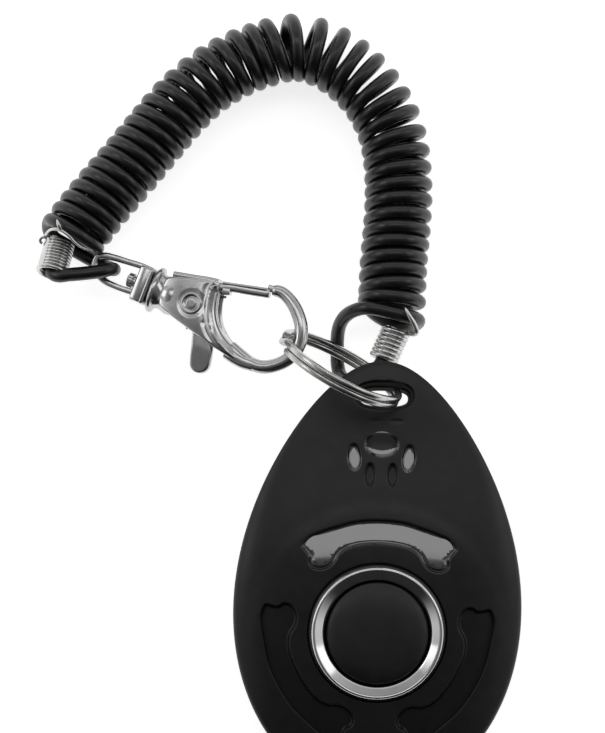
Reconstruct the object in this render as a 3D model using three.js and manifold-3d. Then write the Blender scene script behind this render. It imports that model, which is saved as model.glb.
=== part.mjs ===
// Clicker trainer: an egg-shaped clicker case with a push button, and its
// lanyard: split ring, coiled strap and swivel clasp.
// Millimetres, +Z up. Origin: on the flat rest face of the back cover, under
// the button's axis. +Y runs from the button to the lanyard hole.
import * as THREE from 'three';
import { mergeVertices } from 'three/addons/utils/BufferGeometryUtils.js';
import Module from 'manifold-3d';

const wasm = await Module();
wasm.setup();

// ---------------------------------------------------------------- dimensions
// case outline: x = B cos t (1 + C1 s + C2 s^2 + C3 s^3), y = Y0 + A s, s = sin t
const EGG = { Y0: 7.7, A: 32.2, B: 21.05, C1: -0.1752, C2: -0.0844, C3: -0.0144 };
const CAVITY = { Y0: 1.5, A: 24.0, B: 19.2, C1: -0.15, C2: -0.05, C3: 0 };
const CORE_Y = 6;            // centre of the radial fraction u
const PART_Z = 9.2;          // parting plane of the two covers
const PART_GAP = 0.3;
const RIM = 0.6;             // height of the upright rim of each cover
const CROWN_Z = 13.6;        // top surface round the button
const NOSE_TOP_Z = 11.8;     // top surface at the lanyard hole
const NOSE_BOTTOM_Z = 7.8;   // underside at the lanyard hole
const WALL = 1.7;
const REST_SINK = 0.9;
const SLOT = { x: 0, y: 35.1, w: 7.8, h: 4.5 };   // lanyard hole
const RECESS_DEPTH = 0.8;
// bone outline, right half, in the frame of the button's axis
const BONE = [[0, 16.65], [3.6, 16.35], [6.5, 15.5], [8.75, 14.7], [10.5, 13.85], [11.5, 12.45],
  [11.0, 11.75], [10.4, 10.95], [10.4, 10.0], [9.87, 9.25], [8.74, 8.95], [7.4, 9.3], [6.46, 10.2],
  [5.9, 11.2], [4.95, 12.0], [3.4, 12.6], [0, 12.93]];
const BUTTON_R = 7.45, BUTTON_TOP = 15.7, BUTTON_TRAVEL = 1.3;
const RING_OUT_R = 10.0, RING_IN_R = 7.75, RING_SEAT_Z = 12.9;
const SCREWS = [[0, 20.8], [-11.2, -14.0], [11.2, -14.0]];
const PLATE = { w: 9, y0: -5.5, y1: 13.3, z: 6.3, t: 0.4, screwY: 10.6 };

const LAY = 1.5 * Math.PI / 180;  // the lanyard lies turned by this about the button's axis
// split ring
const KR = { c: [-5.4, 38.8, 12.4], r: 9.4, radial: 1.15, axial: 1.9, az: -29, lean: 13 };
// coiled strap
const CORD_D = 2.1, COIL_R = 5.0, COIL_Z = 5.05;
const COIL = [[2.3, 46.6], [2.6, 54.2], [3.2, 60.9], [3.35, 66.8], [2.5, 73.5], [0.2, 78.7],
  [-3.2, 82.7], [-7.7, 85.7], [-12.1, 86.8], [-16.4, 85.9], [-20.9, 84.2], [-25.5, 81.4],
  [-29.5, 77.7], [-33.4, 73.1], [-37.0, 68.8], [-40.6, 64.6], [-43.3, 61.2], [-44.5, 59.6]];
const LOOP_R = [[-1.9, 45.3, 3.3], [-3.9, 44.9, 2.3], [-5.4, 43.3, 1.3], [-5.85, 41.2, 1.12], [-5.95, 39.4, 1.2],
  [-5.6, 38.0, 2.0], [-4.7, 37.2, 3.5], [-3.5, 37.3, 5.2], [-2.4, 38.0, 6.25], [-1.2, 38.85, 6.45], [0.0, 39.7, 6.3], [1.0, 40.5, 6.1], [1.8, 41.6, 5.9], [2.35, 43.0, 5.75], [2.8, 44.3, 5.6]];
const LOOP_L = [[-47.6, 57.2, 4.45], [-47.85, 54.6, 4.3], [-47.95, 52.9, 4.3], [-47.3, 51.7, 4.7], [-45.9, 51.3, 5.7], [-44.2, 51.7, 6.9],
  [-42.5, 52.4, 7.6], [-40.9, 53.1, 7.6], [-39.75, 53.35, 6.7], [-39.25, 53.35, 5.0], [-39.35, 53.45, 3.1], [-40.25, 53.85, 1.6], [-41.6, 54.6, 1.15], [-43.1, 55.6, 1.3]];
const CRIMP_R = { a: [1.6, 41.1, 5.97], b: [3.05, 44.95, 5.55] };
const CRIMP_L = { a: [-48.0, 52.95, 4.2], b: [-47.55, 58.2, 4.5] };
const CRIMP_OD = 4.2, CRIMP_ID = 2.8;
// swivel clasp, drawn round its rivet
const RIVET = [-26.96, 48.3, 8.0], CLASP_AZ = -20, CLASP_PITCH = 13, SWIVEL_AZ = -21;
const HOOK_R = 1.08, PLATE_IN = 1.35, PLATE_OUT = 2.15;

// ------------------------------------------------------------------- helpers
function toManifold(geo) {
  let g = geo.clone();
  g.deleteAttribute('normal');
  if (g.getAttribute('uv')) g.deleteAttribute('uv');
  g = mergeVertices(g, 1e-4);
  const idx = Array.from(g.index.array), tri = [];
  for (let i = 0; i < idx.length; i += 3) {
    const [a, b, c] = [idx[i], idx[i + 1], idx[i + 2]];
    if (a !== b && b !== c && a !== c) tri.push(a, b, c);
  }
  return new wasm.Manifold(new wasm.Mesh({
    numProp: 3, vertProperties: new Float32Array(g.attributes.position.array), triVerts: new Uint32Array(tri),
  }));
}
function toGeometry(m) {
  const mesh = m.getMesh();
  const g = new THREE.BufferGeometry();
  const np = mesh.numProp, n = mesh.vertProperties.length / np, pos = new Float32Array(n * 3);
  for (let i = 0; i < n; i++) for (let k = 0; k < 3; k++) pos[3 * i + k] = mesh.vertProperties[i * np + k];
  g.setAttribute('position', new THREE.BufferAttribute(pos, 3));
  g.setIndex(new THREE.BufferAttribute(new Uint32Array(mesh.triVerts), 1));
  g.computeVertexNormals();
  return g;
}
const solid = (geo, matrix) => { const g = geo.clone(); if (matrix) g.applyMatrix4(matrix); return toManifold(g); };
const at = (x, y, z) => new THREE.Matrix4().makeTranslation(x, y, z);
function rod(r, z0, z1, seg = 20, x = 0, y = 0) {
  const g = new THREE.CylinderGeometry(r, r, z1 - z0, seg);
  g.rotateX(Math.PI / 2);
  g.translate(x, y, (z0 + z1) / 2);
  return g;
}
function prism(points, z0, z1) {
  const shape = new THREE.Shape(points.map((p) => new THREE.Vector2(p[0], p[1])));
  const g = new THREE.ExtrudeGeometry(shape, { depth: z1 - z0, bevelEnabled: false, steps: 1 });
  g.translate(0, 0, z0);
  return g;
}
function block(x0, x1, y0, y1, z0, z1) {
  const g = new THREE.BoxGeometry(x1 - x0, y1 - y0, z1 - z0);
  g.translate((x0 + x1) / 2, (y0 + y1) / 2, (z0 + z1) / 2);
  return g;
}
function lathe(profile, seg) {              // profile of [r, z], revolved about Z
  const g = new THREE.LatheGeometry(profile.map((p) => new THREE.Vector2(p[0], p[1])), seg);
  g.rotateX(Math.PI / 2);
  return g;
}
function ringSection(w, h) {                // eight-sided section, chamfered corners
  const a = w / 2, b = h / 2, c = Math.min(a, b) * 0.45;
  return [[a, -b + c], [a, b - c], [a - c, b], [-a + c, b], [-a, b - c], [-a, -b + c], [-a + c, -b], [a - c, -b]];
}
function tube(points, r, sides, steps, closed = false) {
  const curve = new THREE.CatmullRomCurve3(points.map((p) => new THREE.Vector3(...p)), closed, 'centripetal');
  const ring = [];
  for (let i = 0; i < sides; i++) {
    const a = (i / sides) * Math.PI * 2;
    ring.push(new THREE.Vector2(r * Math.cos(a), r * Math.sin(a)));
  }
  return new THREE.ExtrudeGeometry(new THREE.Shape(ring), { extrudePath: curve, steps, bevelEnabled: false });
}
const outline = (e, n) => {
  const pts = [];
  for (let i = 0; i < n; i++) {
    const t = (i / n) * Math.PI * 2, s = Math.sin(t);
    pts.push([e.B * Math.cos(t) * (1 + e.C1 * s + e.C2 * s * s + e.C3 * s * s * s), e.Y0 + e.A * s]);
  }
  return pts;
};
const RIM_TABLE = outline(EGG, 1440).map(([x, y]) => [Math.atan2(y - CORE_Y, x), Math.hypot(x, y - CORE_Y)])
  .sort((p, q) => p[0] - q[0]);
function rimRadius(a) {
  let lo = 0, hi = RIM_TABLE.length - 1;
  if (a <= RIM_TABLE[0][0] || a >= RIM_TABLE[hi][0]) return RIM_TABLE[hi][1];
  while (hi - lo > 1) { const m = (lo + hi) >> 1; if (RIM_TABLE[m][0] <= a) lo = m; else hi = m; }
  const f = (a - RIM_TABLE[lo][0]) / (RIM_TABLE[hi][0] - RIM_TABLE[lo][0]);
  return RIM_TABLE[lo][1] * (1 - f) + RIM_TABLE[hi][1] * f;
}
const uOf = (x, y) => Math.min(1, Math.hypot(x, y - CORE_Y) / rimRadius(Math.atan2(y - CORE_Y, x)));
const smooth = (a, b, v) => { const t = Math.min(1, Math.max(0, (v - a) / (b - a))); return t * t * (3 - 2 * t); };
const crown = (y) => CROWN_Z + (NOSE_TOP_Z - CROWN_Z) * smooth(9, 34, y);
const belly = (y) => NOSE_BOTTOM_Z * smooth(8, 30, y);
const topEdge = PART_Z + PART_GAP / 2 + RIM, bottomEdge = PART_Z - PART_GAP / 2 - RIM;
const zTop = (x, y) => topEdge + (crown(y) - topEdge) * Math.pow(1 - Math.pow(uOf(x, y), 2.4), 0.6);
function zBottom(x, y) {
  const f = Math.pow(1 - Math.pow(uOf(x, y), 3.2), 0.55);
  return Math.max(belly(y), bottomEdge - (bottomEdge - belly(y) + REST_SINK) * f);
}
// closed solid over an outline: radial grid, a top and a bottom surface, an upright side
function gridSolid(pts, rings, core, top, bottom) {
  const n = pts.length, pos = [], idx = [];
  for (const f of [top, bottom]) {
    pos.push(core[0], core[1], f(core[0], core[1]));
    for (const u of rings) for (const [x, y] of pts) {
      const px = core[0] + (x - core[0]) * u, py = core[1] + (y - core[1]) * u;
      pos.push(px, py, f(px, py));
    }
  }
  const base = 1 + rings.length * n;
  for (let s = 0; s < 2; s++) {
    const o = s * base, at2 = (r, i) => o + 1 + r * n + (i % n);
    const tri = (a, b, c) => (s === 0 ? idx.push(a, b, c) : idx.push(a, c, b));
    for (let i = 0; i < n; i++) {
      tri(o, at2(0, i), at2(0, i + 1));
      for (let r = 0; r + 1 < rings.length; r++) {
        tri(at2(r, i), at2(r + 1, i), at2(r + 1, i + 1));
        tri(at2(r, i), at2(r + 1, i + 1), at2(r, i + 1));
      }
    }
  }
  const last = rings.length - 1;
  for (let i = 0; i < n; i++) {
    const a = 1 + last * n + i, b = 1 + last * n + ((i + 1) % n);
    idx.push(a, base + a, base + b, a, base + b, b);
  }
  const g = new THREE.BufferGeometry();
  g.setAttribute('position', new THREE.BufferAttribute(new Float32Array(pos), 3));
  g.setIndex(idx);
  return toManifold(g);
}
const rotZ = (p, a) => [p[0] * Math.cos(a) - p[1] * Math.sin(a), p[0] * Math.sin(a) + p[1] * Math.cos(a)];

// ----------------------------------------------------------------- materials
const mat = (color, roughness, metalness) => new THREE.MeshStandardMaterial({ color, roughness, metalness });
const blackPlastic = mat(0x202020, 0.42, 0), buttonPlastic = mat(0x1c1c1c, 0.5, 0), cordPlastic = mat(0x141414, 0.35, 0);
const chrome = mat(0xc8c8c8, 0.16, 1), nickel = mat(0xb9b7b2, 0.25, 1), springSteel = mat(0x9a9a98, 0.35, 1);
const zinc = mat(0xb4b4b4, 0.28, 1);

const clicker = new THREE.Group();
const add = (parent, name, geometry, material) => {
  const mesh = new THREE.Mesh(geometry, material);
  mesh.name = name;
  parent.add(mesh);
  return mesh;
};

// ---------------------------------------------------------------------- case
const RINGS = [0.3, 0.55, 0.73, 0.85, 0.93, 0.98, 1];
const CAV_RINGS = [0.45, 0.8, 1];
const core = [0, CORE_Y];
const bones = [0, 120, 240].map((deg) => {
  const pts = [...BONE, ...BONE.slice(1, -1).reverse().map(([x, y]) => [-x, y])];
  return pts.map((p) => rotZ(p, deg * Math.PI / 180));
});
const ellipse = (cx, cy, a, b, n = 16) => Array.from({ length: n }, (_, i) => {
  const t = (i / n) * Math.PI * 2;
  return [cx + a * Math.cos(t), cy + b * Math.sin(t)];
});
const paws = [ellipse(0, 27.6, 2.6, 1.9, 18), ellipse(-4.0, 25.6, 1.05, 2.05), ellipse(4.0, 25.6, 1.05, 2.05),
  ellipse(-1.65, 23.1, 0.85, 1.8), ellipse(1.65, 23.1, 0.85, 1.8)];
function slotPrism(z0, z1, grow = 0) {
  const a = SLOT.w / 2 + grow, b = SLOT.h / 2 + grow, pts = [];
  for (let i = 0; i < 20; i++) {
    const t = (i / 20) * Math.PI * 2, c = Math.cos(t), s = Math.sin(t);
    pts.push([SLOT.x + (a - b) * Math.sign(Math.round(c * 1e6)) + b * c, SLOT.y + b * s]);
  }
  return prism(pts, z0, z1);
}
{
  let front = gridSolid(outline(EGG, 48), RINGS, core, zTop, () => PART_Z + PART_GAP / 2);
  const hollow = gridSolid(outline(CAVITY, 32), CAV_RINGS, core, (x, y) => zTop(x, y) - WALL, () => PART_Z - 1);
  const below = gridSolid(outline(EGG, 48), RINGS, core, (x, y) => zTop(x, y) - RECESS_DEPTH, () => PART_Z + PART_GAP / 2);
  front = front.subtract(hollow);
  for (const [x, y] of SCREWS) {
    let boss = solid(rod(2.5, PART_Z + PART_GAP / 2, 12.2, 16, x, y)).intersect(below);
    front = front.add(boss);
  }
  for (const outlinePts of [...bones, ...paws]) {
    front = front.subtract(solid(prism(outlinePts, PART_Z + 1, 20)).subtract(below));
  }
  for (const [x, y] of SCREWS) front = front.subtract(solid(rod(1.25, PART_Z - 1, 10.5, 12, x, y)));
  front = front.subtract(solid(rod(RING_OUT_R + 0.3, RING_SEAT_Z, 20, 36)));
  front = front.subtract(solid(rod(8.55, PART_Z, 20, 32)));
  front = front.subtract(solid(slotPrism(0, 20)));
  add(clicker, 'front_cover', toGeometry(front), blackPlastic);

  let back = gridSolid(outline(EGG, 48), RINGS, core, () => PART_Z - PART_GAP / 2, zBottom);
  const backHollow = gridSolid(outline(CAVITY, 32), CAV_RINGS, core, () => PART_Z + 1, (x, y) => zBottom(x, y) + WALL);
  const keep = gridSolid(outline(EGG, 48), RINGS, core, () => PART_Z - PART_GAP / 2, (x, y) => zBottom(x, y) + 0.4);
  back = back.subtract(backHollow);
  for (const [x, y] of SCREWS) back = back.add(solid(rod(2.9, 0, PART_Z - PART_GAP / 2, 16, x, y)).intersect(keep));
  // seat of the snap plate: a low block under its screw and a ridge that its end rocks on
  back = back.add(solid(block(-5, 5, 8, 12.4, 1, PLATE.z - 1.1)).intersect(keep));
  back = back.add(solid(block(-5, 5, 12.2, 13.6, 1, PLATE.z - 0.3)).intersect(keep));
  back = back.subtract(solid(rod(1.15, 3.0, 10, 12, 0, PLATE.screwY)));
  for (const [x, y] of SCREWS) {
    const seat = zBottom(x, y) + 1.6;
    back = back.subtract(solid(rod(2.15, -1, seat, 16, x, y)));
    back = back.subtract(solid(rod(1.25, -1, 20, 12, x, y)));
  }
  back = back.subtract(solid(slotPrism(0, 20)));
  add(clicker, 'back_cover', toGeometry(back), blackPlastic);

  // screws: countersunk heads in the back cover
  SCREWS.forEach(([x, y], i) => {
    const z0 = zBottom(x, y) + 0.35;
    const g = lathe([[0, z0], [1.85, z0], [1.85, z0 + 0.9], [0.95, z0 + 0.91], [0.95, 10.2], [0, 10.2]], 16);
    const cross = solid(block(-1.1, 1.1, -0.22, 0.22, z0 - 1, z0 + 0.5)).add(solid(block(-0.22, 0.22, -1.1, 1.1, z0 - 1, z0 + 0.5)));
    add(clicker, `case_screw_${i + 1}`, toGeometry(toManifold(g).subtract(cross)), springSteel).position.set(x, y, 0);
  });
}
// bezel: outer bevel, crest, wide inner cone, and a skirt through the cover
add(clicker, 'button_ring', lathe([[RING_IN_R, 11.4], [8.25, 11.4], [8.25, 13.2], [RING_OUT_R, 13.2], [RING_OUT_R, 13.9],
  [9.8, 14.6], [9.35, 14.95], [9.0, 14.85], [8.0, 13.9], [RING_IN_R, 13.6], [RING_IN_R, 11.4]], 40), chrome);
// button: domed cap, retaining flange, stem
add(clicker, 'button', lathe([[0, 7.05], [1.5, 7.05], [1.5, 9.9], [8.7, 9.9], [8.7, 10.9], [BUTTON_R, 10.9],
  [BUTTON_R, 14.1], [7.2, 14.75], [6.6, 15.15], [5.2, 15.45], [3.0, 15.63], [0, BUTTON_TOP]], 36), buttonPlastic);
// snap plate: a thin strip, dished under the stem
{
  const shape = new THREE.Shape([[-PLATE.w / 2, PLATE.y0 + 1.5], [-PLATE.w / 2 + 1.5, PLATE.y0], [PLATE.w / 2 - 1.5, PLATE.y0],
    [PLATE.w / 2, PLATE.y0 + 1.5], [PLATE.w / 2, PLATE.y1], [-PLATE.w / 2, PLATE.y1]].map((p) => new THREE.Vector2(...p)));
  const g = new THREE.ExtrudeGeometry(shape, { depth: PLATE.t, bevelEnabled: false });
  g.translate(0, 0, PLATE.z);
  const dimple = lathe([[0, PLATE.z - 0.25], [1.6, PLATE.z - 0.25], [2.6, PLATE.z + 0.05], [2.6, PLATE.z + 0.2], [0, PLATE.z + 0.2]], 16);
  let plate = toManifold(g).add(toManifold(dimple));
  plate = plate.subtract(solid(rod(1.35, 0, 10, 14, 0, PLATE.screwY)));
  add(clicker, 'click_plate', toGeometry(plate), springSteel);
  add(clicker, 'plate_screw', lathe([[0, 3.4], [0.85, 3.4], [0.85, 7.0], [2.0, 7.0], [2.0, 7.5], [1.4, 8.0], [0, 8.05]], 16), springSteel)
    .position.set(0, PLATE.screwY, 0);
}

// ------------------------------------------------------------------- lanyard
const lanyard = new THREE.Group();
lanyard.rotation.z = LAY;
clicker.add(lanyard);
{
  const section = ringSection(KR.radial, KR.axial).map(([a, b]) => [KR.r + a, b]);
  section.push(section[0]);
  const g = lathe(section, 44);                 // ring axis along Z
  const mesh = add(lanyard, 'split_ring', g, nickel);
  const az = KR.az * Math.PI / 180, lean = KR.lean * Math.PI / 180;
  const m = new THREE.Vector3(Math.cos(az), Math.sin(az), 0);
  const p = new THREE.Vector3(-Math.sin(az), Math.cos(az), 0);
  const q = p.clone().multiplyScalar(-Math.sin(lean)).add(new THREE.Vector3(0, 0, Math.cos(lean)));
  const n = new THREE.Vector3().crossVectors(m, q);
  mesh.quaternion.setFromRotationMatrix(new THREE.Matrix4().makeBasis(m, q, n));
  mesh.position.set(...KR.c);
}
add(lanyard, 'strap_coil', tube(COIL.map(([x, y]) => [x, y, COIL_Z]), COIL_R, 12, 44), cordPlastic);
add(lanyard, 'strap_loop_right', tube(LOOP_R, CORD_D / 2, 8, 30), cordPlastic);
add(lanyard, 'strap_loop_left', tube(LOOP_L, CORD_D / 2, 8, 30), cordPlastic);
for (const [name, c] of [['crimp_right', CRIMP_R], ['crimp_left', CRIMP_L]]) {
  const a = new THREE.Vector3(...c.a), b = new THREE.Vector3(...c.b), len = a.distanceTo(b);
  const g = lathe([[CRIMP_ID / 2, 0], [CRIMP_OD / 2, 0], [CRIMP_OD / 2, len], [CRIMP_ID / 2, len], [CRIMP_ID / 2, 0]], 16);
  const mesh = add(lanyard, name, g, nickel);
  mesh.quaternion.setFromUnitVectors(new THREE.Vector3(0, 0, 1), b.clone().sub(a).normalize());
  mesh.position.copy(a);
}

// --------------------------------------------------------------------- clasp
const clasp = new THREE.Group();
{
  const az = CLASP_AZ * Math.PI / 180;
  const across = new THREE.Vector3(-Math.sin(az), Math.cos(az), 0);
  clasp.quaternion.setFromAxisAngle(across, -CLASP_PITCH * Math.PI / 180);
  clasp.position.set(...RIVET);
  lanyard.add(clasp);
}
// outlines are given as they lie in plan; the pitched clasp is longer along its own axis
const rel = (pts) => pts.map(([x, y]) => {
  const ax = Math.cos(CLASP_AZ * Math.PI / 180), ay = Math.sin(CLASP_AZ * Math.PI / 180);
  const dx = x - RIVET[0], dy = y - RIVET[1];
  const k = (dx * ax + dy * ay) * (1 / Math.cos(CLASP_PITCH * Math.PI / 180) - 1);
  return [dx + k * ax, dy + k * ay];
});
// along the swivel axis: s along it from the rivet (negative towards the eye), v across it
const sw = (s, v) => rotZ([s, v], SWIVEL_AZ * Math.PI / 180);
const swMatrix = new THREE.Matrix4().makeRotationZ(SWIVEL_AZ * Math.PI / 180);
{
  // body: two side plates, a web along the top edge, neck with flange, and the hook
  const plateOutline = rel([[-31.2, 52.7], [-30.0, 52.75], [-24.0, 51.9], [-23.2, 51.3], [-23.35, 49.2], [-23.2, 47.3],
    [-22.6, 44.9], [-21.2, 42.6], [-19.0, 40.8], [-18.6, 39.0], [-19.4, 38.55], [-22.2, 40.4], [-27.07, 43.9], [-32.3, 47.2]]);
  let body = solid(prism(plateOutline, PLATE_IN, PLATE_OUT)).add(solid(prism(plateOutline, -PLATE_OUT, -PLATE_IN)));
  body = body.add(solid(prism(rel([[-31.3, 53.3], [-29.9, 53.2], [-24.6, 52.35], [-24.6, 51.75], [-31.2, 52.4]]), -PLATE_OUT, PLATE_OUT)));
  // filler at the neck and at the hook's root
  body = body.add(solid(prism([sw(-5.9, 3.1), sw(-4.6, 3.1), sw(-4.6, -3.3), sw(-5.9, -3.3)], -PLATE_OUT, PLATE_OUT)));
  body = body.add(solid(prism(rel([[-22.9, 44.4], [-21.2, 42.6], [-19.0, 40.8], [-18.6, 39.0], [-19.4, 38.55], [-22.2, 40.4], [-23.3, 41.2]]), -PLATE_OUT, PLATE_OUT)));
  const flange = new THREE.CylinderGeometry(3.45, 3.45, 1.1, 20);   // neck flange, its axis along the swivel axis
  flange.rotateZ(Math.PI / 2);
  flange.scale(1, 1, 0.72);
  flange.translate(-6.2, 0, 0);
  body = body.add(solid(flange, swMatrix));
  const hook = tube(rel([[-21.6, 42.0], [-19.9, 40.5], [-18.6, 39.55], [-16.9, 39.05], [-15.0, 39.3], [-13.0, 40.3], [-11.55, 42.2],
    [-11.2, 44.8], [-11.75, 47.0], [-12.75, 48.8], [-14.0, 50.0], [-15.2, 50.4]]).map(([x, y]) => [x, y, 0]), HOOK_R, 10, 30);
  body = body.add(toManifold(hook));
  // bore and head pocket of the swivel stem
  const stemBore = new THREE.CylinderGeometry(1.3, 1.3, 3.4, 14);
  stemBore.rotateZ(Math.PI / 2); stemBore.translate(-6.0, 0, 0);
  const pocket = new THREE.CylinderGeometry(1.75, 1.75, 1.5, 14);
  pocket.rotateZ(Math.PI / 2); pocket.translate(-4.3, 0, 0);
  body = body.subtract(solid(stemBore, swMatrix)).subtract(solid(pocket, swMatrix));
  body = body.subtract(solid(rod(1.0, -4, 4, 14)));
  add(clasp, 'clasp_body', toGeometry(body), zinc);

  // gate lever: hub, gate bar and trigger in one flat lever
  const hub = ellipse(0, 0, 2.15, 2.15, 18);
  let gate = solid(prism(hub, -0.35, 0.95));
  gate = gate.add(solid(prism(rel([[-27.2, 50.4], [-24.6, 51.45], [-23.3, 51.55], [-16.25, 50.45], [-15.95, 49.2], [-21.65, 49.95], [-23.6, 49.9], [-25.2, 48.6], [-27.0, 48.3]]), -0.45, 1.05)));
  gate = gate.add(solid(prism(rel([[-29.0, 48.4], [-28.3, 43.6], [-28.1, 39.6], [-27.75, 38.6], [-26.95, 38.0], [-26.05, 38.0], [-25.3, 38.6], [-24.95, 39.6], [-25.0, 43.6], [-24.95, 48.0]]), -0.35, 0.95)));
  gate = gate.subtract(solid(rod(1.0, -4, 4, 14)));
  add(clasp, 'clasp_gate', toGeometry(gate), zinc);
  add(clasp, 'gate_rivet', lathe([[0, -2.9], [1.2, -2.9], [1.6, -2.6], [1.6, -2.4], [0.72, -2.4], [0.72, 2.4], [1.6, 2.4],
    [1.6, 2.6], [1.2, 2.9], [0, 2.9]], 18), nickel);
  // torsion spring on the rivet, behind the lever
  let spring = toManifold(lathe([[1.2, -1.12], [1.6, -1.12], [1.6, -0.72], [1.2, -0.72], [1.2, -1.12]], 18));
  spring = spring.add(solid(block(0.9, 4.6, 0.95, 1.3, -1.1, -0.75))).add(solid(block(-1.55, -1.2, -3.6, -0.4, -1.1, -0.75)));
  add(clasp, 'gate_spring', toGeometry(spring), springSteel);

  // swivel eye: flat bow, block and headed stem
  const bow = [[-33.9, 53.25], [-36.7, 54.6], [-38.9, 55.3], [-40.3, 55.6], [-41.3, 55.45], [-41.75, 54.7], [-41.6, 53.2], [-40.5, 51.9], [-38.6, 50.95], [-35.4, 49.95]];
  const curve = new THREE.CatmullRomCurve3(rel(bow).map(([x, y]) => new THREE.Vector3(x, y, 0)), false, 'centripetal');
  const n = 22, left = [], right = [];
  for (let i = 0; i <= n; i++) {
    const p = curve.getPoint(i / n), t = curve.getTangent(i / n);
    left.push([p.x - t.y * 0.5, p.y + t.x * 0.5]);
    right.push([p.x + t.y * 0.5, p.y - t.x * 0.5]);
  }
  let eye = solid(prism([...left, ...right.reverse()], -1.2, 1.2));
  eye = eye.add(solid(prism([sw(-9.4, 2.75), sw(-7.15, 2.75), sw(-7.15, -2.75), sw(-9.4, -2.75)], -1.9, 1.9)));
  const stem = new THREE.CylinderGeometry(1.0, 1.0, 3.9, 14);
  stem.rotateZ(Math.PI / 2); stem.translate(-5.9, 0, 0);
  const head = new THREE.CylinderGeometry(1.45, 1.45, 0.8, 14);
  head.rotateZ(Math.PI / 2); head.translate(-4.3, 0, 0);
  eye = eye.add(solid(stem, swMatrix)).add(solid(head, swMatrix));
  add(clasp, 'swivel_eye', toGeometry(eye), zinc);
}

export default clicker;
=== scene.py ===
import math

import bmesh
import bpy
import numpy as np
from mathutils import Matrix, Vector
from mathutils.geometry import delaunay_2d_cdt


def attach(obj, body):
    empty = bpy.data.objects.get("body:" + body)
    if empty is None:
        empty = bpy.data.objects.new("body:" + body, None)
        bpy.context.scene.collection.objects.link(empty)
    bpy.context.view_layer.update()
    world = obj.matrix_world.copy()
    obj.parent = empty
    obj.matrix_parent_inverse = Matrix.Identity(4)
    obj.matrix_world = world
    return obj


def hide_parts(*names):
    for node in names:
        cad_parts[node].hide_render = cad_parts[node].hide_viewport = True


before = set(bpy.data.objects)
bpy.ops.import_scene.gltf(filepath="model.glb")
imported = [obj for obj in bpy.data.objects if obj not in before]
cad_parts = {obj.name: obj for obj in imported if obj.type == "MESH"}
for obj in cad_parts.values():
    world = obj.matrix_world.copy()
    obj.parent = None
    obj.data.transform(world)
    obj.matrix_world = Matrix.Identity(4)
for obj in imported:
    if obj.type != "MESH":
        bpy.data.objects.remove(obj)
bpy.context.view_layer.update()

MM = 0.001
LAY = math.radians(1.5)          # the lanyard lies turned by this about the button's axis
PI2 = 2 * math.pi


# ------------------------------------------------------------------- helpers
def rot2(P, a):
    P = np.asarray(P, float)
    c, s = math.cos(a), math.sin(a)
    Q = P.copy()
    Q[:, 0] = P[:, 0] * c - P[:, 1] * s
    Q[:, 1] = P[:, 0] * s + P[:, 1] * c
    return Q


def lay(P):
    return rot2(P, LAY)


def spline(P, n, closed=False):
    """Centripetal Catmull-Rom through the points."""
    P = np.asarray(P, float)
    L = len(P)
    out = []
    total = L if closed else L - 1
    for k in range(n if closed else n + 1):
        t = total * k / n
        i = int(math.floor(t))
        w = t - i
        if not closed and i >= L - 1:
            i, w = L - 2, 1.0
        if closed:
            p0, p1, p2, p3 = P[(i - 1) % L], P[i % L], P[(i + 1) % L], P[(i + 2) % L]
        else:
            p1, p2 = P[i], P[i + 1]
            p0 = P[i - 1] if i > 0 else 2 * P[0] - P[1]
            p3 = P[i + 2] if i + 2 < L else 2 * P[-1] - P[-2]
        d0 = max(np.sum((p0 - p1) ** 2) ** .25, 1e-4)
        d1 = max(np.sum((p1 - p2) ** 2) ** .25, 1e-4)
        d2 = max(np.sum((p2 - p3) ** 2) ** .25, 1e-4)
        t1 = ((p1 - p0) / d0 - (p2 - p0) / (d0 + d1) + (p2 - p1) / d1) * d1
        t2 = ((p2 - p1) / d1 - (p3 - p1) / (d1 + d2) + (p3 - p2) / d2) * d1
        out.append(p1 + t1 * w + (-3 * p1 + 3 * p2 - 2 * t1 - t2) * w * w + (2 * p1 - 2 * p2 + t1 + t2) * w ** 3)
    return np.array(out)


def length(P):
    return float(np.linalg.norm(np.diff(P, axis=0), axis=1).sum())


def even(P, n):
    """The line again with n + 1 evenly spaced points."""
    s = np.concatenate([[0], np.cumsum(np.linalg.norm(np.diff(P, axis=0), axis=1))])
    at = np.linspace(0, s[-1], n + 1)
    return np.stack([np.interp(at, s, P[:, k]) for k in range(P.shape[1])], axis=1)


def transport(P, up=(0, 0, 1)):
    """Tangents and two normals carried along a line without twist."""
    T = np.gradient(P, axis=0)
    T /= np.linalg.norm(T, axis=1)[:, None]
    N = np.zeros_like(T)
    n = np.asarray(up, float) - np.dot(up, T[0]) * T[0]
    if np.linalg.norm(n) < 1e-6:
        n = np.cross(T[0], [1, 0, 0])
    n /= np.linalg.norm(n)
    for i in range(len(P)):
        n = n - np.dot(n, T[i]) * T[i]
        n /= np.linalg.norm(n)
        N[i] = n
    return T, N, np.cross(T, N)


def sweep(P, section, N, B, closed=False, scale=None, caps=True):
    """A section of (n, b) points carried along a line: vertices and faces."""
    P, sec = np.asarray(P, float), np.asarray(section, float)
    n, k = len(P), len(sec)
    sc = np.ones(n) if scale is None else np.asarray(scale, float)
    V = (P[:, None, :] + sc[:, None, None] * (sec[None, :, 0, None] * N[:, None, :] + sec[None, :, 1, None] * B[:, None, :])).reshape(-1, 3)
    F = []
    for i in range(n if closed else n - 1):
        a, b = i * k, ((i + 1) % n) * k
        for j in range(k):
            j2 = (j + 1) % k
            F.append((a + j, a + j2, b + j2, b + j))
    if not closed and caps:
        F.append(tuple(range(k))[::-1])
        F.append(tuple(range((n - 1) * k, n * k)))
    return V, F


def circle(r, k, squash=1.0):
    a = np.arange(k) / k * PI2
    return np.stack([r * np.cos(a), r * squash * np.sin(a)], axis=1)


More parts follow.
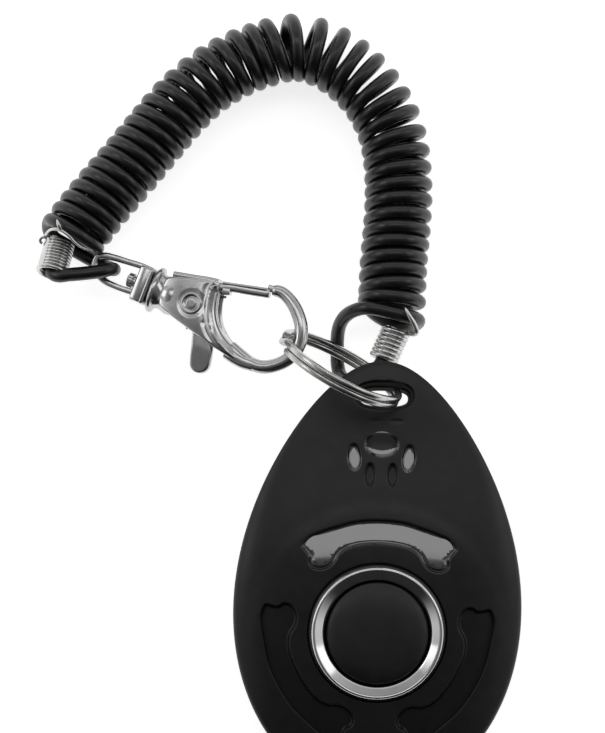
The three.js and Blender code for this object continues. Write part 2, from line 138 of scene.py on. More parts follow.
def round_rect(w, h, r, k=5):
    """Closed section w by h with rounded corners."""
    pts = []
    for cx, cy, a0 in ((w / 2 - r, h / 2 - r, 0), (-w / 2 + r, h / 2 - r, 90), (-w / 2 + r, -h / 2 + r, 180), (w / 2 - r, -h / 2 + r, 270)):
        for i in range(k + 1):
            a = math.radians(a0 + 90 * i / k)
            pts.append((cx + r * math.cos(a), cy + r * math.sin(a)))
    return np.array(pts)


def tube(P, r, k=12, scale=None, closed=False, up=(0, 0, 1), squash=1.0):
    T, N, B = transport(P, up)
    return sweep(P, circle(r, k, squash), N, B, closed=closed, scale=scale)


def lathe(profile, seg, closed=False):
    """Profile of (r, z) turned about Z."""
    pr = np.asarray(profile, float)
    a = np.arange(seg) / seg * PI2
    V, F, idx = [], [], []
    for r, z in pr:
        if r < 1e-9:
            idx.append([len(V)])
            V.append((0, 0, z))
        else:
            idx.append(list(range(len(V), len(V) + seg)))
            V += [(r * math.cos(t), r * math.sin(t), z) for t in a]
    pairs = list(zip(range(len(pr) - 1), range(1, len(pr))))
    if closed:
        pairs.append((len(pr) - 1, 0))
    for i, j in pairs:
        A, B = idx[i], idx[j]
        for s in range(seg):
            s2 = (s + 1) % seg
            if len(A) == 1 and len(B) == 1:
                continue
            if len(A) == 1:
                F.append((A[0], B[s2], B[s]))
            elif len(B) == 1:
                F.append((A[s], A[s2], B[0]))
            else:
                F.append((A[s], A[s2], B[s2], B[s]))
    return np.array(V, float), F


def join(*parts):
    V, F, n = [], [], 0
    for v, f in parts:
        V.append(np.asarray(v, float))
        F += [tuple(i + n for i in t) for t in f]
        n += len(v)
    return np.vstack(V), F


def piece(name, V, F, mats, body, replaces=(), angle=38, weld=True, mat_of=None, flip_check=True):
    """A mesh object in metres from millimetre vertices, riding on a body."""
    me = bpy.data.meshes.new(name)
    me.from_pydata((np.asarray(V, float) * MM).tolist(), [], [tuple(int(i) for i in f) for f in F])
    mats = mats if isinstance(mats, (list, tuple)) else [mats]
    for m in mats:
        me.materials.append(m)
    if mat_of is not None:
        me.polygons.foreach_set("material_index", np.asarray(mat_of, np.int32))
    if weld:
        bm = bmesh.new()
        bm.from_mesh(me)
        bmesh.ops.remove_doubles(bm, verts=bm.verts, dist=3e-6)
        if flip_check:
            bmesh.ops.recalc_face_normals(bm, faces=bm.faces)
        bm.to_mesh(me)
        bm.free()
    me.validate()
    me.polygons.foreach_set("use_smooth", np.ones(len(me.polygons), bool))
    me.set_sharp_from_angle(angle=math.radians(angle))
    me.update()
    ob = bpy.data.objects.new(name, me)
    bpy.context.scene.collection.objects.link(ob)
    if body:
        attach(ob, body)
    if replaces:
        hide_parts(*replaces)
    return ob


def seg_dist(P, loop, closed=True):
    """Distance of plane points to a polyline."""
    A = np.asarray(loop, float)[:, :2]
    B = np.roll(A, -1, axis=0)
    if not closed:
        A, B = A[:-1], B[:-1]
    best = np.full(len(P), 1e9)
    D = B - A
    dd = np.maximum((D * D).sum(1), 1e-12)
    for i in range(len(A)):
        w = P - A[i]
        t = np.clip((w @ D[i]) / dd[i], 0, 1)
        q = w - t[:, None] * D[i]
        best = np.minimum(best, (q * q).sum(1))
    return np.sqrt(best)


def inside(P, loop):
    A = np.asarray(loop, float)[:, :2]
    B = np.roll(A, -1, axis=0)
    c = np.zeros(len(P), bool)
    for (x0, y0), (x1, y1) in zip(A, B):
        if y0 == y1:
            continue
        hit = (y0 > P[:, 1]) != (y1 > P[:, 1])
        c ^= hit & (P[:, 0] < (x1 - x0) * (P[:, 1] - y0) / (y1 - y0) + x0)
    return c


def sdf(P, loop):
    d = seg_dist(P, loop)
    return np.where(inside(P, loop), -d, d)


def offset(loop, d):
    """Points beside a closed line, outward by d."""
    L = np.asarray(loop, float)[:, :2]
    t = np.roll(L, -1, axis=0) - np.roll(L, 1, axis=0)
    t /= np.maximum(np.linalg.norm(t, axis=1)[:, None], 1e-9)
    area = 0.5 * np.sum(L[:, 0] * np.roll(L[:, 1], -1) - np.roll(L[:, 0], -1) * L[:, 1])
    n = np.stack([t[:, 1], -t[:, 0]], axis=1) * (1 if area > 0 else -1)
    return L + d * n


def hexfill(lo, hi, s):
    pts, row, y = [], 0, lo[1]
    while y <= hi[1]:
        x = lo[0] + (s / 2 if row % 2 else 0)
        while x <= hi[0]:
            pts.append((x, y))
            x += s
        y += s * .866
        row += 1
    return np.array(pts)


def sheet2d(edge, holes=(), features=(), fill=.6, gap=.5):
    """Triangles over an outline with holes. features are (closed line, list of offsets) that get their own points."""
    edge = np.asarray(edge, float)[:, :2]
    loops = [edge] + [np.asarray(h, float)[:, :2] for h in holes]
    fixed, cons = [], []
    for L in loops:
        n0 = sum(len(f) for f in fixed)
        fixed.append(L)
        cons += [(n0 + i, n0 + (i + 1) % len(L)) for i in range(len(L))]
    extra = []
    for line, offs in features:
        for d in offs:
            extra.append(offset(line, d) if abs(d) > 1e-9 else np.asarray(line, float)[:, :2])
    if extra:
        E = np.vstack(extra)
        _, keep = np.unique(np.round(E / .06).astype(int), axis=0, return_index=True)
        E = E[np.sort(keep)]
        near = np.minimum.reduce([seg_dist(E, L) for L in loops])
        E = E[inside(E, edge) & (near > .05)]
        for h in loops[1:]:
            E = E[~inside(E, h)]
    else:
        E = np.zeros((0, 2))
    G = hexfill(edge.min(0), edge.max(0), fill)
    G = G[inside(G, edge)]
    G = G[np.minimum.reduce([seg_dist(G, L) for L in loops]) > gap]
    for h in loops[1:]:
        G = G[~inside(G, h)]
    for line, offs in features:
        if len(offs):
            m = seg_dist(G, line)
            G = G[m > max(abs(o) for o in offs) * .6 + .12]
    P = np.vstack(fixed + [E, G])
    res = delaunay_2d_cdt([Vector(p) for p in P], cons, [], 0, 1e-7)
    Q = np.array([v[:] for v in res[0]], float)
    T = np.array([t for t in res[2] if len(t) == 3], int)
    C = Q[T].mean(1)
    ok = inside(C, edge)
    for h in loops[1:]:
        ok &= ~inside(C, h)
    T = T[ok]
    a = Q[T]
    cr = (a[:, 1, 0] - a[:, 0, 0]) * (a[:, 2, 1] - a[:, 0, 1]) - (a[:, 1, 1] - a[:, 0, 1]) * (a[:, 2, 0] - a[:, 0, 0])
    T = T[np.abs(cr) > 1e-8]
    cr = cr[np.abs(cr) > 1e-8]
    T[cr < 0] = T[cr < 0][:, ::-1]
    return Q, T


def wall(loops):
    """Quads between closed lines of the same number of points."""
    V = np.vstack(loops)
    k, F = len(loops[0]), []
    for i in range(len(loops) - 1):
        for j in range(k):
            j2 = (j + 1) % k
            F.append((i * k + j, i * k + j2, (i + 1) * k + j2, (i + 1) * k + j))
    return V, F


def with_z(L, z):
    L = np.asarray(L, float)[:, :2]
    return np.column_stack([L, np.full(len(L), z) if np.isscalar(z) else z])


def sstep(a, b, v):
    t = np.clip((np.asarray(v, float) - a) / (b - a), 0, 1)
    return t * t * (3 - 2 * t)


# ----------------------------------------------------------------- materials
def node(nt, kind, **kw):
    n = nt.nodes.new(kind)
    for k, v in kw.items():
        setattr(n, k, v)
    return n


def material(name, dark, light, rough, rough_to, metal=0.0, scale=900.0, bump=.05, bump_scale=5000.0, bump_dist=2e-5,
             fine=0.0, spec=.5, coat=0.0, coat_rough=.1, wear=None, stretch=None):
    """Two tones mixed by noise, roughness by another noise, a fine bump."""
    m = bpy.data.materials.new(name)
    m.use_nodes = True
    nt = m.node_tree
    b = nt.nodes["Principled BSDF"]
    b.inputs["Metallic"].default_value = metal
    b.inputs["Specular IOR Level"].default_value = spec
    b.inputs["Coat Weight"].default_value = coat
    b.inputs["Coat Roughness"].default_value = coat_rough
    co = node(nt, "ShaderNodeTexCoord")
    src = co.outputs["Object"]
    if stretch:
        mp = node(nt, "ShaderNodeMapping")
        mp.inputs["Scale"].default_value = stretch
        nt.links.new(src, mp.inputs["Vector"])
        src = mp.outputs["Vector"]
    n1 = node(nt, "ShaderNodeTexNoise")
    n1.inputs["Scale"].default_value = scale
    n1.inputs["Detail"].default_value = 4
    nt.links.new(src, n1.inputs["Vector"])
    r1 = node(nt, "ShaderNodeValToRGB")
    r1.color_ramp.elements[0].position, r1.color_ramp.elements[1].position = .35, .65
    r1.color_ramp.elements[0].color = (*dark, 1)
    r1.color_ramp.elements[1].color = (*light, 1)
    nt.links.new(n1.outputs["Fac"], r1.inputs["Fac"])
    colour = r1.outputs["Color"]
    n2 = node(nt, "ShaderNodeTexNoise")
    n2.inputs["Scale"].default_value = scale * .45
    n2.inputs["Detail"].default_value = 6
    nt.links.new(src, n2.inputs["Vector"])
    mr = node(nt, "ShaderNodeMapRange")
    mr.inputs["From Min"].default_value, mr.inputs["From Max"].default_value = .35, .65
    mr.inputs["To Min"].default_value, mr.inputs["To Max"].default_value = rough, rough_to
    nt.links.new(n2.outputs["Fac"], mr.inputs["Value"])
    roughness = mr.outputs["Result"]
    if wear:      # sparse small scuffs, lighter
        vn = node(nt, "ShaderNodeTexNoise")
        vn.inputs["Scale"].default_value = wear[0]
        vn.inputs["Detail"].default_value = 8
        vn.inputs["Roughness"].default_value = .7
        nt.links.new(src, vn.inputs["Vector"])
        wr = node(nt, "ShaderNodeMapRange")
        wr.inputs["From Min"].default_value, wr.inputs["From Max"].default_value = wear[1], wear[1] + .06
        nt.links.new(vn.outputs["Fac"], wr.inputs["Value"])
        mx = node(nt, "ShaderNodeMix", data_type="RGBA")
        mx.inputs["B"].default_value = (*wear[2], 1)
        nt.links.new(wr.outputs["Result"], mx.inputs["Factor"])
        nt.links.new(colour, mx.inputs["A"])
        colour = mx.outputs["Result"]
    nt.links.new(colour, b.inputs["Base Color"])
    nt.links.new(roughness, b.inputs["Roughness"])
    n3 = node(nt, "ShaderNodeTexNoise")
    n3.inputs["Scale"].default_value = bump_scale
    n3.inputs["Detail"].default_value = 3
    nt.links.new(src, n3.inputs["Vector"])
    bp = node(nt, "ShaderNodeBump")
    bp.inputs["Strength"].default_value = bump
    bp.inputs["Distance"].default_value = bump_dist
    nt.links.new(n3.outputs["Fac"], bp.inputs["Height"])
    nt.links.new(bp.outputs["Normal"], b.inputs["Normal"])
    return m


def g(v):
    return (v, v, v)


M_CASE = material("case_satin", g(.0062), g(.0088), .34, .41, scale=500, bump=.22, bump_scale=2600, bump_dist=1.2e-5, spec=.34,
                  coat=.03, coat_rough=.2, wear=(900, .70, g(.018)))
M_POLISH = material("case_polished", g(.006), g(.009), .09, .13, scale=600, bump=.02, bump_scale=900, bump_dist=6e-6, spec=1.0,
                    coat=1.0, coat_rough=.05)
M_POLISH.node_tree.nodes["Principled BSDF"].inputs["Coat IOR"].default_value = 1.75
M_BUTTON = material("button_satin", g(.0065), g(.0095), .40, .48, scale=600, bump=.25, bump_scale=3200, bump_dist=1e-5, spec=.42)
# darker base than the satin case: painted shade on the floors of the lower bone and small toe recesses
M_RECESS_SHADE = material("case_recess_painted_shade", g(.0042), g(.0058), .30, .38, scale=500, bump=.10, bump_scale=2600, bump_dist=1e-5, spec=.36)
M_SCREW = material("screw_black_oxide", g(.035), g(.06), .38, .48, metal=1, scale=900, bump=.1, bump_scale=3000, bump_dist=1e-5)
M_CHROME = material("bezel_chrome", g(.60), g(.66), .09, .15, metal=1, scale=500, bump=.05, bump_scale=1500, bump_dist=1e-5)
M_NICKEL = material("ring_nickel", (.44, .437, .43), (.55, .547, .537), .16, .26, metal=1, scale=700, bump=.12, bump_scale=2400,
                    bump_dist=1.2e-5)
M_WIRE = material("crimp_wire", (.54, .537, .53), (.65, .647, .637), .20, .30, metal=1, scale=900, bump=.12, bump_scale=3500,
                  bump_dist=1.2e-5)
M_ZINC = material("clasp_zinc", g(.46), g(.55), .16, .25, metal=1, scale=420, bump=.12, bump_scale=900, bump_dist=2e-5)
M_STEEL = material("spring_steel", g(.42), g(.52), .26, .36, metal=1, scale=700, bump=.1, bump_scale=2600, bump_dist=1e-5)
M_CORD = material("strap_pu", g(.004), g(.007), .26, .40, scale=1400, bump=.35, bump_scale=2300, bump_dist=1.6e-5, spec=.5,
                  coat=.12, coat_rough=.15)
M_FLOOR = material("floor", g(.86), g(.875), .75, .85, scale=30, bump=.02, bump_scale=400, bump_dist=1e-4, spec=.2)

_b = M_FLOOR.node_tree.nodes["Principled BSDF"]
_b.inputs["Emission Color"].default_value = (1, 1, 1, 1)
_b.inputs["Emission Strength"].default_value = .78

for name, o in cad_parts.items():
    ob = bpy.data.objects[o] if isinstance(o, str) else o
    m = {"button_ring": M_CHROME, "button": M_BUTTON, "front_cover": M_CASE, "back_cover": M_CASE, "split_ring": M_NICKEL,
         "strap_coil": M_CORD, "strap_loop_right": M_CORD, "strap_loop_left": M_CORD, "crimp_right": M_WIRE, "crimp_left": M_WIRE,
         "clasp_body": M_ZINC, "clasp_gate": M_ZINC, "swivel_eye": M_ZINC, "gate_rivet": M_NICKEL, "case_screw_1": M_SCREW,
         "case_screw_2": M_SCREW, "case_screw_3": M_SCREW}.get(name, M_STEEL)
    if ob.material_slots:
        for s in ob.material_slots:
            s.material = m
    else:
        ob.data.materials.append(m)

# ---------------------------------------------------------------------- cord
CORD_D, HELIX_R, COIL_Z = 2.08, 4.08, 5.14
COIL = [[2.3, 46.6], [2.6, 54.2], [3.2, 60.9], [3.35, 66.8], [2.5, 73.5], [0.2, 78.7],
        [-3.2, 82.7], [-7.7, 85.7], [-12.1, 86.8], [-16.4, 85.9], [-20.9, 84.2], [-25.5, 81.4],
        [-29.5, 77.7], [-33.4, 73.1], [-37.0, 68.8], [-40.6, 64.6], [-43.6, 60.9], [-45.5, 58.4]]


def helix():
    C = even(spline(COIL, 1200), 2400)
    w = np.hanning(141)                     # the bend changes gently along the coil
    w /= w.sum()
    pad = np.vstack([2 * C[0] - C[70:0:-1], C, 2 * C[-1] - C[-2:-72:-1]])
    C = np.stack([np.convolve(pad[:, k], w, mode="valid") for k in (0, 1)], axis=1)
    C = even(C, 2400)
    ds = np.linalg.norm(np.diff(C, axis=0), axis=1)
    s = np.concatenate([[0], np.cumsum(ds)])
    T = np.gradient(C, axis=0)
    T /= np.linalg.norm(T, axis=1)[:, None]
    ang = np.unwrap(np.arctan2(T[:, 1], T[:, 0]))
    kap = np.gradient(ang, s)
    w = np.hanning(241)
    w /= w.sum()
    kap = np.convolve(np.pad(kap, 120, mode="edge"), w, mode="valid")
    pitch = 2.065 / np.clip(1 - 3.95 * np.abs(kap), .5, 1)
    turns = np.concatenate([[0], np.cumsum(ds / ((pitch[1:] + pitch[:-1]) / 2))])
    # whole coil: from the top of the first turn to under the last one
    start, want = .25, .52
    total = turns[-1]
    n = round(total + start - want) + want - start
    turns = turns * n / total + start
    th = PI2 * np.linspace(turns[0], turns[-1], int(n * 24))
    at = np.interp(th / PI2, turns, s)
    P = np.stack([np.interp(at, s, C[:, k]) for k in (0, 1)], axis=1)
    Tt = np.stack([np.interp(at, s, T[:, k]) for k in (0, 1)], axis=1)
    Tt /= np.linalg.norm(Tt, axis=1)[:, None]
    N = np.stack([-Tt[:, 1], Tt[:, 0]], axis=1)
    apex = s[np.argmax(C[:, 1])]
    lean = -.95 * np.tanh((at - apex) / 20.0)
    tilt = 1.25 * np.exp(-((th / PI2 - start) / 1.1) ** 2)
    ease_end = np.exp(-(((turns[-1] - th / PI2)) / .8) ** 2)
    lean = lean * (1 - .6 * ease_end) + 1.05 * np.exp(-((th / PI2 - .72) / .30) ** 2) - .55 * np.exp(-((th / PI2 - .34) / .16) ** 2)
    wob = .10 * np.sin(th * .37 + 1.3) + .07 * np.sin(th * .113)
    c, sn = np.cos(th), np.sin(th)
    Q = np.zeros((len(th), 3))
    Q[:, :2] = P + N * (HELIX_R * c)[:, None] + Tt * (lean * sn + tilt * c + wob * .5)[:, None]
    Q[:, 2] = COIL_Z + HELIX_R * sn
    return Q, n


HX, TURNS = helix()
LOOP_A = [[2.95, 44.45, 5.60], [2.4, 43.2, 5.72], [1.75, 41.7, 5.85], [1.05, 40.2, 6.0], [.3, 39.1, 6.25], [-.8, 38.2, 6.45],
          [-2.1, 37.45, 6.3], [-3.4, 37.0, 5.3], [-4.6, 37.1, 3.5], [-5.4, 38.0, 2.0], [-5.7, 39.4, 1.3], [-5.75, 41.2, 1.2],
          [-5.75, 43.2, 1.75], [-5.5, 45.0, 3.1], [-4.7, 46.5, 5.0], [-3.1, 47.5, 7.0], [-1.0, 47.8, 8.45]]
LOOP_B = [[-49.0, 59.7, 3.5], [-48.3, 58.5, 1.95], [-46.9, 57.6, 1.2], [-45.2, 56.55, 1.08], [-43.3, 55.45, 1.08], [-41.5, 54.6, 1.25],
          [-40.1, 54.0, 2.1], [-39.35, 53.65, 3.6], [-39.15, 53.6, 5.3], [-39.6, 53.6, 6.7], [-40.8, 53.3, 7.45], [-43.3, 52.95, 7.75],
          [-45.6, 52.75, 7.8], [-47.2, 52.6, 7.4], [-48.15, 52.95, 6.75], [-48.35, 53.8, 6.2], [-48.0, 55.2, 5.6], [-47.35, 57.3, 4.85]]
keys = np.vstack([np.array(LOOP_A), HX[2::2], np.array(LOOP_B)])
raw = spline(keys, len(keys) * 8)
CORD_LEN = length(raw)
cord_path = lay(even(raw, int(CORD_LEN / .36)))
ends = np.ones(len(cord_path))
ends[0] = ends[-1] = .75
V, F = tube(cord_path, CORD_D / 2, 14, scale=ends)
cord = piece("strap_cord", V, F, M_CORD, "strap", ("strap_coil", "strap_loop_right", "strap_loop_left"), angle=60, weld=False)


# -------------------------------------------------------------------- crimps
def wire_coil(a, b, r, wire, turns, end=0.0, phase=0.0):
    """Close-wound wire from a to b round their axis."""
    a, b = np.array(a, float), np.array(b, float)
    ax = (b - a) / np.linalg.norm(b - a)
    e1 = np.cross(ax, [0, 0, 1]); e1 /= np.linalg.norm(e1)
    e2 = np.cross(ax, e1)
    L = np.linalg.norm(b - a)
    n = int(turns * 40)
    th = np.linspace(0, turns * PI2, n + 1)
    x = np.clip(th / (turns * PI2), 0, 1) * (L - wire) + wire / 2
    P = a + np.outer(x, ax) + np.outer(r * np.cos(th + phase), e1) + np.outer(r * np.sin(th + phase), e2)
    return P, ax, e1, e2


def wire_mesh(P, r, k=10, taper=None):
    P = even(P, max(12, int(length(P) / (r * .55))))
    sc = np.ones(len(P))
    if taper is not None:
        s = np.linspace(0, 1, len(P))
        sc = np.interp(s, taper[0], taper[1])
    return tube(P, r, k, scale=sc)


CR_A, CR_B = [.86, 39.75, 5.97], [3.12, 44.75, 5.60]
P, ax, e1, e2 = wire_coil(CR_A, CR_B, 1.90, .72, 7.0, phase=.4)
sleeve = np.array(CR_A) + np.outer(np.linspace(.2, .97, 24) * np.linalg.norm(np.array(CR_B) - CR_A), ax)
parts = [wire_mesh(P, .385, 10)]
T_, N_, B_ = transport(sleeve)
parts.append(sweep(sleeve, circle(1.66, 32), N_, B_))
# the wire's tapered tail climbs over the last turn of the strap
top = P[-1]
tail = spline([P[-14], P[-6], top + np.array([.15, .25, .1]), [5.0, 44.0, 7.1], [5.75, 43.95, 8.6], [5.9, 44.35, 9.6], [5.45, 45.5, 10.0], [4.75, 46.7, 10.35],
               [4.2, 47.75, 10.25]], 60)
parts.append(wire_mesh(tail, .40, 10, ([0, .6, .8, .97, 1], [1, 1, .95, .55, .25])))
V, F = join(*parts)
crimp_r = piece("crimp_right_wire", lay(V), F, M_WIRE, "strap", ("crimp_right",), angle=70, weld=False)

CL_A, CL_B = [-48.25, 53.3, 6.45], [-47.15, 57.95, 4.45]
P, ax, e1, e2 = wire_coil(CL_A, CL_B, 2.06, .56, 9.2, phase=2.2)
parts = [wire_mesh(P, .29, 10)]
sleeve = np.array(CL_A) + np.outer(np.linspace(.1, .97, 24) * np.linalg.norm(np.array(CL_B) - CL_A), ax)
T_, N_, B_ = transport(sleeve)
parts.append(sweep(sleeve, circle(1.84, 32), N_, B_, caps=False))
# open lower lip of the sleeve
lipc = np.array(CL_A) - .12 * ax
th = np.linspace(0, PI2, 49)[:-1]
lip = lipc + np.outer(2.12 * np.cos(th), e1) + np.outer(2.12 * np.sin(th), e2)
T_, N_, B_ = transport(np.vstack([lip, lip[:1]]))
LV = []
for i in range(48):
    rad = lip[i] - lipc
    rad /= np.linalg.norm(rad)
    LV.append([lip[i] + .34 * math.cos(q) * rad + .34 * math.sin(q) * ax for q in np.arange(10) / 10 * PI2])
LV = np.array(LV).reshape(-1, 3)
LF = [(i * 10 + j, i * 10 + (j + 1) % 10, ((i + 1) % 48) * 10 + (j + 1) % 10, ((i + 1) % 48) * 10 + j) for i in range(48) for j in range(10)]
parts.append((LV, LF))
# plain plate of the sleeve along its outer side
# where e1 points away from the clasp the plain side lies towards -X
side = np.array([-.93, .05, .36])
sa = math.atan2(float(side @ e2), float(side @ e1))
PV, PF = [], []
for i, a_ in enumerate(np.linspace(sa - .62, sa + .62, 17)):
    for j, x_ in enumerate(np.linspace(.05, 4.75, 12)):
        PV.append(np.array(CL_A) + ax * x_ + (2.36 - .05 * (abs(i - 8) / 8) ** 4) * (math.cos(a_) * e1 + math.sin(a_) * e2))
PF = [(i * 12 + j, (i + 1) * 12 + j, (i + 1) * 12 + j + 1, i * 12 + j + 1) for i in range(16) for j in range(11)]
parts.append((np.array(PV), PF))
# tails: a small ear at the top left, an arc over the top, a hook over the strap
parts.append(wire_mesh(spline([P[-30], P[-12], P[-1] + np.array([0, .25, .05]), [-49.05, 58.75, 7.6], [-48.3, 59.35, 9.2], [-47.3, 59.4, 10.2],
                               [-46.3, 59.0, 10.6], [-45.5, 58.4, 10.6], [-44.35, 57.2, 10.2], [-43.2, 56.55, 9.45], [-42.4, 56.3, 8.8]], 90), .23, 10,
                       ([0, .8, .97, 1], [1, 1, .7, .3])))
parts.append(wire_mesh(spline([[-46.7, 59.3, 10.45], [-46.95, 60.0, 10.75], [-47.25, 60.8, 10.5]], 20), .34, 10, ([0, .1, .6, 1], [.7, 1, .9, .25])))
th = np.linspace(-.6, 4.2, 30)
ear = np.array([-49.6, 57.9, 5.4]) + np.outer(.55 * np.cos(th), [1, 0, 0]) + np.outer(.55 * np.sin(th), [0, .9, .43])
parts.append(wire_mesh(ear, .24, 8))
V, F = join(*parts)
crimp_l = piece("crimp_left_wire", lay(V), F, M_WIRE, "strap", ("crimp_left",), angle=70, weld=False)

# ---------------------------------------------------------------------- case
EGG = dict(Y0=7.7, A=32.2, B=21.05, C1=-.1752, C2=-.0844, C3=-.0144)
CORE_Y, PART_Z, PART_GAP, RIM = 6.0, 9.2, .3, .6
CROWN_Z, NOSE_TOP_Z, NOSE_BOTTOM_Z, REST_SINK = 13.6, 11.8, 7.8, .9
TOP_EDGE, BOTTOM_EDGE = PART_Z + PART_GAP / 2 + RIM, PART_Z - PART_GAP / 2 - RIM


def egg(n):
    t = np.arange(n) / n * PI2
    s = np.sin(t)
    return np.stack([EGG["B"] * np.cos(t) * (1 + EGG["C1"] * s + EGG["C2"] * s ** 2 + EGG["C3"] * s ** 3), EGG["Y0"] + EGG["A"] * s], axis=1)


_tab = egg(4000)
_ta = np.arctan2(_tab[:, 1] - CORE_Y, _tab[:, 0])
_tr = np.hypot(_tab[:, 0], _tab[:, 1] - CORE_Y)
_o = np.argsort(_ta)
_ta, _tr = _ta[_o], _tr[_o]


def u_of(P):
    a = np.arctan2(P[:, 1] - CORE_Y, P[:, 0])
    return np.clip(np.hypot(P[:, 0], P[:, 1] - CORE_Y) / np.interp(a, _ta, _tr, period=PI2), 0, 1)


def scaled(L, u):
    L = np.asarray(L, float)
    c = np.array([0, CORE_Y])
    return c + (L[:, :2] - c) * u


BONE = [[0, 16.65], [3.6, 16.35], [6.5, 15.5], [8.75, 14.7], [10.5, 13.85], [11.5, 12.45], [11.0, 11.75], [10.4, 10.95], [10.4, 10.0],
        [9.87, 9.25], [8.74, 8.95], [7.4, 9.3], [6.46, 10.2], [5.9, 11.2], [4.95, 12.0], [3.4, 12.6], [0, 12.93]]
bone0 = spline(BONE + [[-x, y] for x, y in BONE[1:-1][::-1]], 260, closed=True)
bones = [rot2(bone0, math.radians(d)) for d in (0, 120, 240)]


def ell(cx, cy, a, b, n=72, turn=0.0):
    t = np.arange(n) / n * PI2
    E = np.stack([a * np.cos(t), b * np.sin(t)], axis=1)
    return rot2(E, turn) + np.array([cx, cy])


paws = [ell(0, 27.6, 2.6, 1.9), ell(-4.0, 25.6, 1.05, 2.05, turn=.08), ell(4.0, 25.6, 1.05, 2.05, turn=-.08), ell(-1.65, 23.1, .85, 1.8), ell(1.65, 23.1, .85, 1.8)]
dashes = [ell(-1.0, 31.1, .95, .28, 40), ell(2.1, 31.1, .95, .28, 40)]


def stadium(cx, cy, a, b, n=132):
    t = np.arange(n) / n * PI2
    c, s = np.cos(t), np.sin(t)
    # straight part in the middle, half circles at the ends
    e = 2.6
    r = (np.abs(c) ** e + np.abs(s) ** e) ** (-1 / e)
    return np.stack([cx + a * r * c, cy + b * r * s], axis=1)


SLOT_LIP = stadium(.2, 34.85, 4.2, 2.0)
SLOT_MID = stadium(.2, 34.62, 3.9, 1.55)
SLOT_IN = stadium(.15, 34.35, 3.55, 1.15)
SLOT_LOW = stadium(0, 34.7, 3.9, 1.85)


def z_top(P):
    u = u_of(P)
    cz = CROWN_Z + (NOSE_TOP_Z - CROWN_Z) * sstep(9, 34, P[:, 1])
    z = TOP_EDGE + (cz - TOP_EDGE) * np.power(np.maximum(1 - u ** 2.4, 0), .6)
    r = np.hypot(P[:, 0], P[:, 1])
    return z + .08 * (1 - sstep(17.7, 19.6, r)) * (1 - u ** 10)


def z_bottom(P):
    u = u_of(P)
    be = NOSE_BOTTOM_Z * sstep(8, 30, P[:, 1])
    f = np.power(np.maximum(1 - u ** 3.2, 0), .55)
    return np.maximum(be, BOTTOM_EDGE - (BOTTOM_EDGE - be + REST_SINK) * f)


edge = egg(420)
ring_us = 1 - np.array([.0006, .0022, .005, .009, .015, .023, .033, .046, .062, .082, .106, .135])
feats = [(scaled(edge, u), [0.0]) for u in ring_us]
feats += [(b, [.55, .36, .22, .12, .04, -.04, -.12, -.20, -.28, -.38, -.5, -.7]) for b in bones]
feats += [(p, [.5, .3, .15, .05, -.05, -.16, -.3, -.46, -.64, -.85]) for p in paws]
feats += [(d, [.3, .15, 0.0, -.12]) for d in dashes]
feats += [(SLOT_LIP, [.7, .45, .28, .15, .05, -.05, -.14]), (SLOT_MID, [.12, .05, -.02, -.09, -.16])]
feats += [(ell(0, 0, r, r, 220), [0.0]) for r in (10.04, 10.12, 10.18, 10.24, 10.32, 10.42, 10.55, 10.75)]
hole = ell(0, 0, 9.4, 9.4, 160)
Q, T = sheet2d(edge, [hole, SLOT_IN], feats, fill=.62, gap=.3)
z = z_top(Q)
r = np.hypot(Q[:, 0], Q[:, 1])
sd_b = [sdf(Q, b) for b in bones]
for i, d in enumerate(sd_b):
    w = sstep(.10, -.42, d)
    depth = .78 + (.105 * (Q[:, 1] - 14.2) if i == 0 else 0) * sstep(-.1, -.6, d)
    z -= depth * w
sd_p = [sdf(Q, p) for p in paws]
for i, d in enumerate(sd_p):
    y_ = Q[:, 1]
    if i == 0:                       # two flats meeting in a valley
        z -= np.where(y_ > 27.2, .60 - .30 * (y_ - 27.2), .60 + .05 * (y_ - 27.2)) * sstep(.10, -.34, d)
    elif i < 3:                      # floors that rise towards the button
        z -= (.52 + .05 * (y_ - 25.6)) * sstep(.10, -.42, d)
    else:
        z -= .48 * sstep(.10, -.55, d)
for d_ in dashes:
    z -= .07 * sstep(.12, -.2, sdf(Q, d_))
def slot_dip(P):
    return .50 * sstep(.28, -.10, sdf(P, SLOT_LIP)) + .50 * sstep(.10, -.16, sdf(P, SLOT_MID))


z -= slot_dip(Q)
z = np.where(r < 10.34, z + (12.6 - z) * sstep(10.34, 10.12, r), z)
C = Q[T].mean(1)
kind = np.zeros(len(T), int)
for L in [bones[0]] + paws[:3]:
    kind[inside(C, L)] = 1
# in and round the lower bones and small toes: the darker recess material, painted shade in those recesses
for L in bones[1:] + paws[3:]:
    kind[sdf(C, L) < .12] = 2
parts = [(np.column_stack([Q, z]), [tuple(t) for t in T])]
mats_of = [kind]
# upright rim and the joint line
rim = [with_z(edge, TOP_EDGE), with_z(edge, PART_Z + .27), with_z(offset(edge, -.07), PART_Z + .18), with_z(offset(edge, -.5), PART_Z + .16)]
parts.append(wall(rim)); mats_of.append(np.zeros(len(parts[-1][1])))
zi = z_top(SLOT_IN) - slot_dip(SLOT_IN)
SW = [with_z(SLOT_IN, zi), with_z(offset(SLOT_IN, .0), zi - .12), with_z(offset(SLOT_IN, .02), zi - .75), with_z((SLOT_LOW + SLOT_IN) / 2, zi - .95),
      with_z(SLOT_LOW, zi - 1.15), with_z(SLOT_LOW, PART_Z + .2)]
parts.append(wall(SW)); mats_of.append(np.zeros(len(parts[-1][1])))
V, F = join(*parts)
piece("case_front", V, F, [M_CASE, M_POLISH, M_RECESS_SHADE], "case", ("front_cover",), angle=48, mat_of=np.concatenate(mats_of), flip_check=False)

